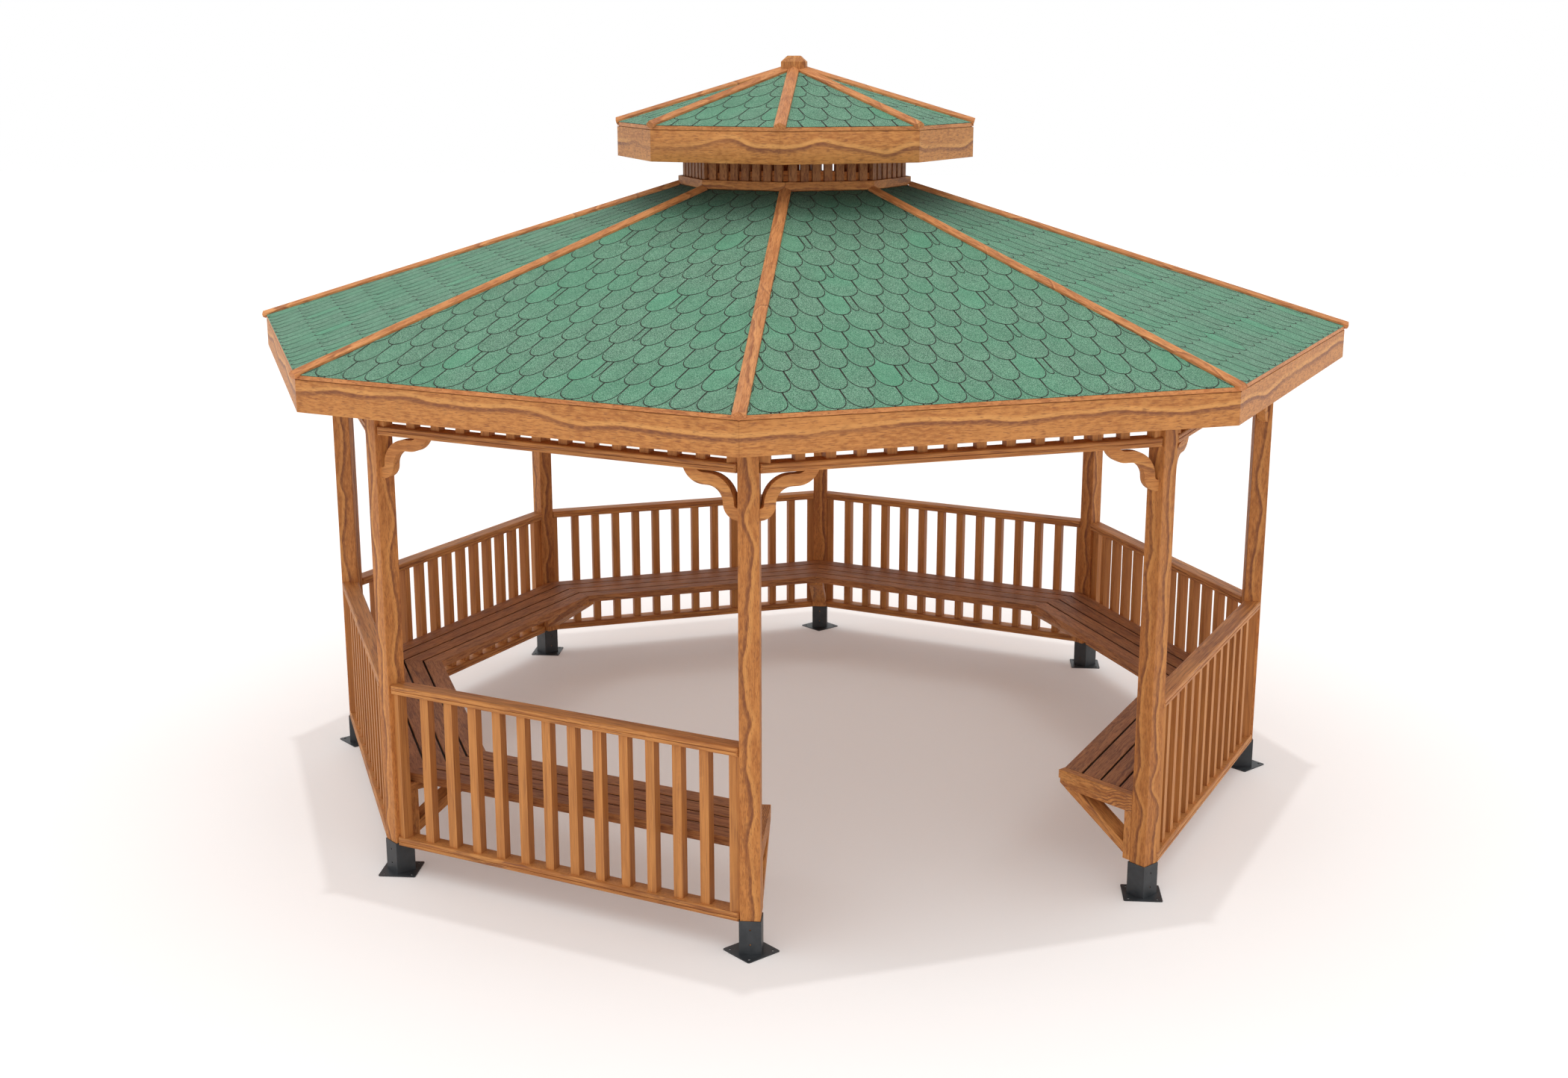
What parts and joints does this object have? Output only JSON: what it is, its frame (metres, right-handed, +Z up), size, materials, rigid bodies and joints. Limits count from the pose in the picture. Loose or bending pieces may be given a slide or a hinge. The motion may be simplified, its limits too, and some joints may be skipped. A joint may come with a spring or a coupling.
{
  "type": "garden gazebo",
  "caption": "Octagonal open garden gazebo in wood with railings, built-in benches, curved brackets, a hipped roof, a slatted roof lantern and steel post feet.",
  "frame": {"origin": "on the ground under the middle of the gazebo, level with the undersides of the foot plates", "axes": "+Z up, -Y towards the front post; the open entrance bay is between the front post and the front right post"},
  "size_m": [5.8288, 5.8288, 3.8234],
  "materials": {
    "frame_wood": "oiled, satin",
    "bench_wood": "oiled, satin",
    "cap_wood": "oiled, satin",
    "roof_boards": "plain boards under shingles",
    "foot_steel": "dark grey coating, matt"
  },
  "bodies": {
    "root": {"post_feet": "foot_steel", "post_front": "frame_wood", "post_front_right": "frame_wood", "post_right": "frame_wood", "post_back_right": "frame_wood", "post_back": "frame_wood", "post_back_left": "frame_wood", "post_left": "frame_wood", "post_front_left": "frame_wood", "railing_right_front": "frame_wood", "railing_right_back": "frame_wood", "railing_back_right": "frame_wood", "railing_back_left": "frame_wood", "railing_left_back": "frame_wood", "railing_left_front": "frame_wood", "railing_front_left": "frame_wood", "bench_right_front": "bench_wood", "bench_right_back": "bench_wood", "bench_back_right": "bench_wood", "bench_back_left": "bench_wood", "bench_left_back": "bench_wood", "bench_left_front": "bench_wood", "bench_front_left": "bench_wood", "bench_cleats": "frame_wood", "bench_braces": "frame_wood", "bench_bearers": "frame_wood", "bench_end_boards": "frame_wood", "frieze_panels": "frame_wood", "frieze_brackets": "frame_wood", "head_beams": "frame_wood", "hip_rafters": "frame_wood", "lower_roof_boarding": "roof_boards", "lower_fascia": "frame_wood", "lower_hip_caps": "cap_wood", "lantern_curb": "frame_wood", "lantern_base_ring": "frame_wood", "lantern_slats": "bench_wood", "lantern_top_plate": "frame_wood", "upper_rafters": "frame_wood", "king_block": "frame_wood", "upper_roof_boarding": "roof_boards", "upper_fascia": "frame_wood", "upper_hip_caps": "cap_wood", "finial": "frame_wood"}
  },
  "joints": []
}
